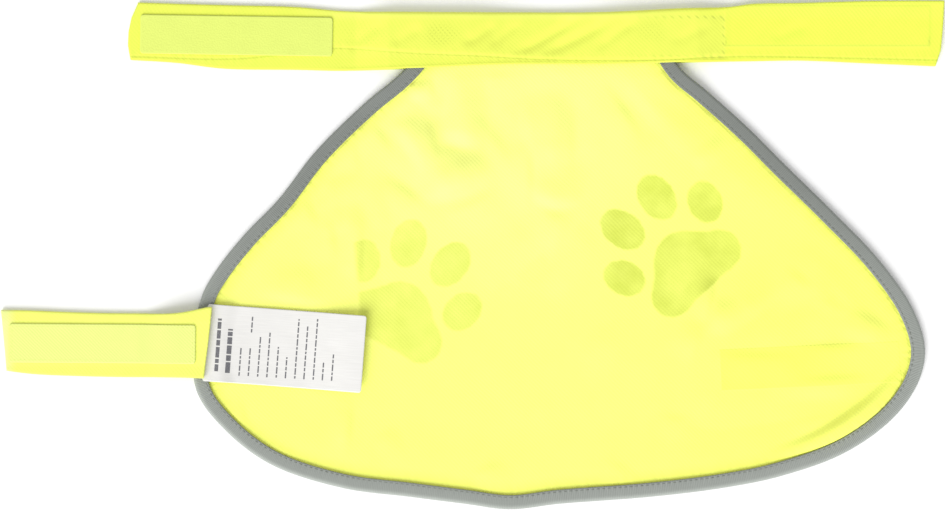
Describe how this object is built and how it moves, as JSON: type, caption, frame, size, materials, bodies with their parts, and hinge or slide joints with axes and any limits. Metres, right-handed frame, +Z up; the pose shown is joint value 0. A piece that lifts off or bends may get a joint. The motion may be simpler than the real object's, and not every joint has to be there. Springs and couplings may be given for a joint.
{
  "type": "dog safety vest",
  "caption": "High-visibility knit vest for a small dog, laid flat inside up: bell-shaped back panel with bound edge, neck strap and belly strap with hook-and-loop patches, blank label.",
  "frame": {"origin": "under the middle of the laid-out vest's bounding box, on the surface it lies on", "axes": "+X along the neck strap to the right, +Y across the vest towards the neck strap, +Z up off the surface"},
  "size_m": [0.483, 0.261, 0.0088],
  "materials": {
    "panel_knit": "single bright yellow-green polyester knit, slightly see-through, faint sheen",
    "strap_knit": "the same knit, double and more yellow",
    "binding_tape": "grey ribbed polyester tape with a darker grey lockstitch",
    "loop_tape": "pale green-yellow brushed loop tape, matt nap",
    "hook_tape": "pale yellow hook tape, fine rows of hooks",
    "label_satin": "white satin ribbon with rows of plain dashes"
  },
  "bodies": {
    "root": {"back_panel": "panel_knit", "edge_binding": "binding_tape", "neck_strap": "strap_knit", "belly_strap": "strap_knit", "neck_loop_patch": "loop_tape", "neck_hook_patch": "hook_tape", "belly_hook_patch": "hook_tape", "belly_loop_patch": "loop_tape", "care_label": "label_satin"}
  },
  "joints": []
}
